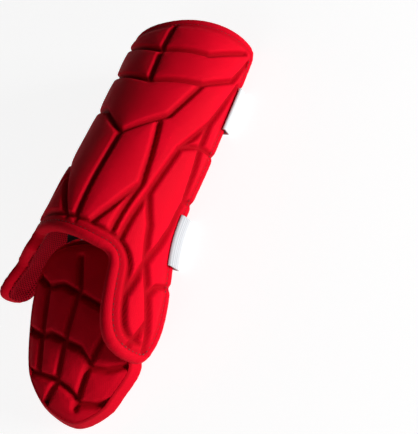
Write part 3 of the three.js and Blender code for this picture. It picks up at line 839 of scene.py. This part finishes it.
# straps and tabs are ribbons through a grid of key points, rows along the run
def throughKeys(keys, along, across):
    def weights(share, count):
        at = np.clip(np.floor(share), 0, count - 2).astype(int)
        t = share - at
        spread = (-0.5 * t**3 + t**2 - 0.5 * t, 1.5 * t**3 - 2.5 * t**2 + 1)
        spread += (-1.5 * t**3 + 2 * t**2 + 0.5 * t, 0.5 * t**3 - 0.5 * t**2)
        return [(np.clip(at + k - 1, 0, count - 1), w) for k, w in enumerate(spread)]

    rows, columns = keys.shape[:2]
    total = 0
    for row, rowWeight in weights(along, rows):
        for column, columnWeight in weights(across, columns):
            total = total + (rowWeight * columnWeight)[:, None] * keys[row, column]
    return total


def ribbonSurface(keys):  # gives the place and facing of points by millimetres along and across
    keys = np.array(keys, float)
    middle = keys[:, keys.shape[1] // 2]
    runs = np.r_[0, np.cumsum(np.linalg.norm(np.diff(middle, axis=0), axis=1))]
    width = np.linalg.norm(np.diff(keys[0], axis=0), axis=1).sum()

    def surface(along, across):
        row = np.interp(along, runs, np.arange(len(runs)))
        column = np.clip(across / width, 0, 1) * (keys.shape[1] - 1)
        nudge = 0.02
        point = throughKeys(keys, row, column)
        ahead = throughKeys(keys, row + nudge, column) - throughKeys(keys, row - nudge, column)
        aside = throughKeys(keys, row, column + nudge) - throughKeys(keys, row, column - nudge)
        facing = np.cross(ahead, aside)
        return point, facing / np.linalg.norm(facing, axis=1)[:, None]

    return surface, runs[-1], width


ribbonEdge = {"soft": 1.2, "thin": 0.45, "fullShadeDepth": 0.3}


def noRelief(along, across, length, width):
    return np.zeros(len(along))


def ribs(run, pitch, depth):
    return depth * (np.cos(2 * np.pi * run / pitch) - 1) / 2


def edgeGap(along, across, length, width):
    return np.minimum(np.minimum(along, length - along), np.minimum(across, width - across))


def ribbon(name, keys, thickness, cell, look, node, relief=noRelief):
    surface, length, width = ribbonSurface(keys)
    bm = flatGrid((0, 0), (length, width), cell)
    bmesh.ops.solidify(bm, geom=bm.faces[:], thickness=1)

    def shape(flat, back):
        along, across = flat.T
        point, facing = surface(along, across)
        edge = np.clip(edgeGap(along, across, length, width) / ribbonEdge["soft"], 0, 1)
        soft = ribbonEdge["thin"] + (1 - ribbonEdge["thin"]) * np.sqrt(1 - (1 - edge) ** 2)
        lift = relief(along, across, length, width)
        half = thickness / 2 * soft + lift
        # sunk parts of the relief get painted shade
        pressedShade = np.clip(-lift / ribbonEdge["fullShadeDepth"], 0, 1)
        return point + facing * (np.where(back, -1, 1) * half)[:, None], pressedShade

    dress(name, bm, shape, look, node)
    print("ribbon:", name, f"{length:.1f} by {width:.1f} mm")


strap = {
    "thickness": 1.7, "cell": 1.0, "columns": 5, "gap": 0.4, "sewnDepth": 0.7,
    "wrapFoot": 87, "wrapRows": 4, "bend": 0.9, "inward": 1.2, "run": 6,
    "flatShares": (0.35, 0.7, 1),
    "rib": 0.28, "ribPitch": 2.3, "ribCell": 0.46, "ribOverlap": 0.2,
    "sewn": 0.35, "sewnPitch": 2.6, "sewnRun": (10, 14),
    "tabThickness": 2.1, "tabCell": 0.8, "tabInset": 3.2, "tabSeam": 0.22, "tabSeamHalf": 0.8,
    "stitchLength": 2.2, "stitchGap": 1.0, "stitchWide": 0.6, "stitchStep": 1.0,
    "seams": (("bandEnd", 2.2), ("bandEnd", 5.2), ("tabStart", 2.4)),
    "seamInset": 1.5, "seamPoints": 12,
}


def elasticRibs(along, across, length, width):
    return ribs(along, strap["ribPitch"], strap["rib"])


def wrapRibs(along, across, length, width):  # rows of stitching where the band is sewn to the wall
    near = 1 - smoothStep(*strap["sewnRun"], along)
    return near * ribs(along, strap["sewnPitch"], strap["sewn"])


def tabPuff(along, across, length, width):
    edge = edgeGap(along, across, length, width)
    return -strap["tabSeam"] * np.exp(-(((edge - strap["tabInset"]) / strap["tabSeamHalf"]) ** 2))


def strapUps(row):
    return row["up"] + row["width"] * np.linspace(0, 1, strap["columns"])


def strapBand(name, row):
    surfaceGap = -(strap["gap"] + strap["thickness"] / 2)
    ups = strapUps(row)
    keys = []
    for around in np.linspace(row["wrapTop"], strap["wrapFoot"], strap["wrapRows"]):
        depth = strap["sewnDepth"] if around == row["wrapTop"] else surfaceGap
        across = math.radians(around) * shellForm["patternRadius"]
        keys.append(placeOnShell(np.full(len(ups), across), ups, depth))
    foot = placeOnShell(np.full(len(ups), shinOutline["sideEdge"]), ups, surfaceGap)
    middle = strap["thickness"] / 2
    bend = foot.copy()
    bend[:, 2] = middle + strap["bend"]
    keys.append(bend)
    for inward in (strap["inward"], strap["run"]):
        turn = foot.copy()
        turn[:, 0] -= inward
        turn[:, 2] = middle
        keys.append(turn)
    start = keys[-1]
    for share in strap["flatShares"]:
        flat = start.copy()
        flat[:, 0] += (row["bandEnd"] - flat[:, 0]) * share
        keys.append(flat)
    relief = wrapRibs if name == "lower_strap" else noRelief
    ribbon(
        name + "_webbing", keys, strap["thickness"], strap["cell"], bandLook,
        name + "_band", relief,
    )


def flatKeys(row, start, end, thickness):
    xs = np.linspace(start, end, strap["columns"])
    return [[(x, up, thickness / 2) for up in strapUps(row)] for x in xs]


def strapStitching(name, row):  # seams where the lengths overlap, and the border of the tab
    bm = bmesh.new()
    count, inset = strap["seamPoints"], strap["seamInset"]
    ups = np.linspace(row["up"] + inset, row["up"] + row["width"] - inset, count)
    for face, sign in ((0.0, -1), (strap["thickness"], 1)):
        for end, offset in strap["seams"]:
            x = row[end] + offset
            line = np.stack([np.full(count, x), ups, np.full(count, face)], axis=1)
            addStitches(bm, line, np.tile((0.0, 0.0, sign), (count, 1)), strap)
    inset = strap["tabInset"]
    left, right = row["tabEnd"] + inset, row["tabStart"] - inset
    low, high = row["up"] + inset, row["up"] + row["width"] - inset
    corners = [(left, low), (right, low), (right, high), (left, high), (left, low)]
    for face, sign in ((0.0, -1), (strap["tabThickness"], 1)):
        border = np.array([(x, y, face) for x, y in corners], float)
        border = evenly(border, strap["stitchStep"])
        addStitches(bm, border, np.tile((0.0, 0.0, sign), (len(border), 1)), strap)
    name += "_stitching"
    finishPiece(name, meshFrom(name, bm), whiteThread)


for strapName, strapRow in strapRows.items():
    strapBand(strapName, strapRow)
    elasticStart = strapRow["bandEnd"] - strap["ribOverlap"]
    elasticEnd = strapRow["tabStart"] + strap["ribOverlap"]
    elasticKeys = flatKeys(strapRow, elasticStart, elasticEnd, strap["thickness"])
    ribbon(
        strapName + "_ribbed", elasticKeys, strap["thickness"], strap["ribCell"], elasticLook,
        strapName + "_elastic", elasticRibs,
    )
    tabKeys = flatKeys(strapRow, strapRow["tabStart"], strapRow["tabEnd"], strap["tabThickness"])
    ribbon(
        strapName + "_satin_tab", tabKeys, strap["tabThickness"], strap["tabCell"], tabLook,
        strapName + "_tab", tabPuff,
    )
    strapStitching(strapName, strapRow)

# strap under the foot pad, slack between its sewn ends
footStrap = {
    "along": 48, "width": 34, "thickness": 1.4, "inset": 1.5, "depth": 12.5, "sag": 12,
    "rows": 13, "columns": 5, "cell": 1.2,
}


def footStrapKeys():
    rows = []
    sides = [footLoop[footLoop[:, 0] < 0], footLoop[footLoop[:, 0] > 0]]
    sides = [side[np.argsort(side[:, 1])] for side in sides]
    alongs = footStrap["along"] + footStrap["width"] * np.linspace(0, 1, footStrap["columns"])
    for share in np.linspace(1, -1, footStrap["rows"]):
        line = []
        for along in alongs:
            left, right = (np.interp(-along, side[:, 1], side[:, 0]) for side in sides)
            left, right = left + footStrap["inset"], right - footStrap["inset"]
            across = np.array([(left + right) / 2 + (right - left) / 2 * share])
            dome = footDome(across, along)
            hang = footStrap["sag"] * (1 - share**4) + dome * (1 - share**2)
            depth = footStrap["depth"] + hang + footStrap["thickness"] / 2
            line.append(placeOnFoot(across, np.array([-float(along)]), depth)[0])
        rows.append(line)
    return rows


ribbon(
    "foot_webbing", footStrapKeys(), footStrap["thickness"], footStrap["cell"], tabLook,
    "foot_strap",
)

# black tab from the inside of the shell to the upper edge of the foot pad
hingeTab = {
    "aroundStart": -17, "aroundEnd": 20, "topUp": 142, "leaveUp": 107, "thickness": 1.8,
    "clear": 12.7, "leaveGap": 1.5, "footLeft": -21, "footRight": 19, "reach": 2.2,
    "footDepth": 8.6, "edgeDrop": 8, "edgeHalfWidth": 29, "slack": ((0.3, 1.5), (0.65, 2.5)),
    "columns": 7, "cell": 0.7, "rib": 0.24, "ribPitch": 2.0,
}


def hingeKeys():
    h = hingeTab
    half = h["thickness"] / 2
    arounds = np.radians(np.linspace(h["aroundStart"], h["aroundEnd"], h["columns"]))
    across = arounds * shellForm["patternRadius"]

    def onShell(up, depth):
        return placeOnShell(across, np.full(h["columns"], float(up)), depth + half)

    atFoot = np.linspace(h["footLeft"], h["footRight"], h["columns"])
    drop = h["edgeDrop"] * (atFoot / h["edgeHalfWidth"]) ** 2
    lower = placeOnFoot(atFoot, h["reach"] - drop, h["footDepth"])
    above = onShell(h["leaveUp"], h["clear"] + h["leaveGap"])
    middleUp = (h["topUp"] + h["leaveUp"]) / 2
    rows = [onShell(h["topUp"], h["clear"]), onShell(middleUp, h["clear"]), above]
    for share, rise in h["slack"]:
        rows.append(above + (lower - above) * share + (0, rise, 0))
    return rows + [lower]


def tabRibs(along, across, length, width):
    return ribs(across, hingeTab["ribPitch"], hingeTab["rib"])


ribbon(
    "hinge_elastic", hingeKeys(), hingeTab["thickness"], hingeTab["cell"], blackLook,
    "hinge_tab", tabRibs,
)

# floor, light and camera
studio = {
    "floor": rgb(0.40, 0.40, 0.40), "rough": 0.9,
    "white": rgb(1, 1, 1), "glow": 0.86, "world": 0.03,
    "reach": 5, "sides": 64, "backdrop": 0.9, "drop": 0.6, "aim": (0, 0, 0.04),
    "key": {"at": (1.28, 0.26, 0.08), "size": 0.4, "power": 26.5},
    "fill": {"at": (-0.1, -1.2, 0.65), "size": 0.9, "power": 2.6},
}
camera = {  # about the photographed view: degrees round, up and rolled, millimetres off
    "azimuth": 60.36, "elevation": 53.61, "roll": -46.12, "distance": 431.67,
    "aside": -84.39, "above": 38.48, "target": (0, 160, 40),
    "focalPixels": 458.99, "frameHeight": 434, "sensor": 36, "clipStart": 0.01,
}


def makeStage():  # a round floor with a low backdrop standing on its edge
    look = Look("pale floor", {
        "Base Color": studio["floor"], "Roughness": studio["rough"],
        "Emission Color": studio["white"], "Emission Strength": studio["glow"],
    })
    bm = bmesh.new()
    bmesh.ops.create_circle(bm, cap_ends=True, segments=studio["sides"], radius=studio["reach"])
    rim = [edge for edge in bm.edges if edge.is_boundary]
    risen = bmesh.ops.extrude_edge_only(bm, edges=rim)["geom"]
    top = [part for part in risen if isinstance(part, bmesh.types.BMVert)]
    bmesh.ops.translate(bm, verts=top, vec=(0, 0, studio["backdrop"]))
    bmesh.ops.translate(bm, verts=bm.verts[:], vec=(0, 0, cadBox[0].z - studio["drop"] * mm))
    mesh = meshFrom("floor", bm)
    mesh.materials.append(look.material)
    floor = addObject("floor", mesh)


def makeLight(name, settings):
    light = bpy.data.lights.new(name, "AREA")
    light.energy = settings["power"]
    light.size = settings["size"]
    lamp = addObject(name, light)
    lamp.location = settings["at"]
    facing = Vector(studio["aim"]) - lamp.location
    lamp.rotation_euler = facing.to_track_quat("-Z", "Y").to_euler()


def makeCamera():
    c = camera
    azimuth, elevation, turn = (math.radians(c[key]) for key in ("azimuth", "elevation", "roll"))
    flatReach = math.cos(elevation)
    backX, backY = math.sin(azimuth) * flatReach, -math.cos(azimuth) * flatReach
    back = Vector((backX, backY, math.sin(elevation)))
    level = Vector((0, 0, 1)).cross(back).normalized()
    upright = back.cross(level)
    right = level * math.cos(turn) + upright * math.sin(turn)
    up = upright * math.cos(turn) - level * math.sin(turn)
    target = Vector(c["target"]) + Vector((0, 0, shellForm["wallLift"])) + Vector(shift)
    place = (target - right * c["aside"] - up * c["above"] + back * c["distance"]) * mm
    lens = bpy.data.cameras.new("camera")
    lens.sensor_width = c["sensor"]
    lens.lens = c["focalPixels"] / c["frameHeight"] * lens.sensor_width
    lens.clip_start = c["clipStart"]
    shot = addObject("camera", lens)
    shot.matrix_world = Matrix.Translation(place) @ Matrix((right, up, back)).transposed().to_4x4()
    bpy.context.scene.camera = shot


makeStage()
for lampName in ("key", "fill"):
    makeLight(lampName, studio[lampName])
makeCamera()
world = bpy.data.worlds.new("studio")
bpy.context.scene.world = world
world.use_nodes = True
background = world.node_tree.nodes["Background"]
background.inputs["Color"].default_value = studio["white"]
background.inputs["Strength"].default_value = studio["world"]
bpy.context.scene.view_settings.view_transform = "Standard"
print("floor, light and camera set")

bpy.context.view_layer.update()
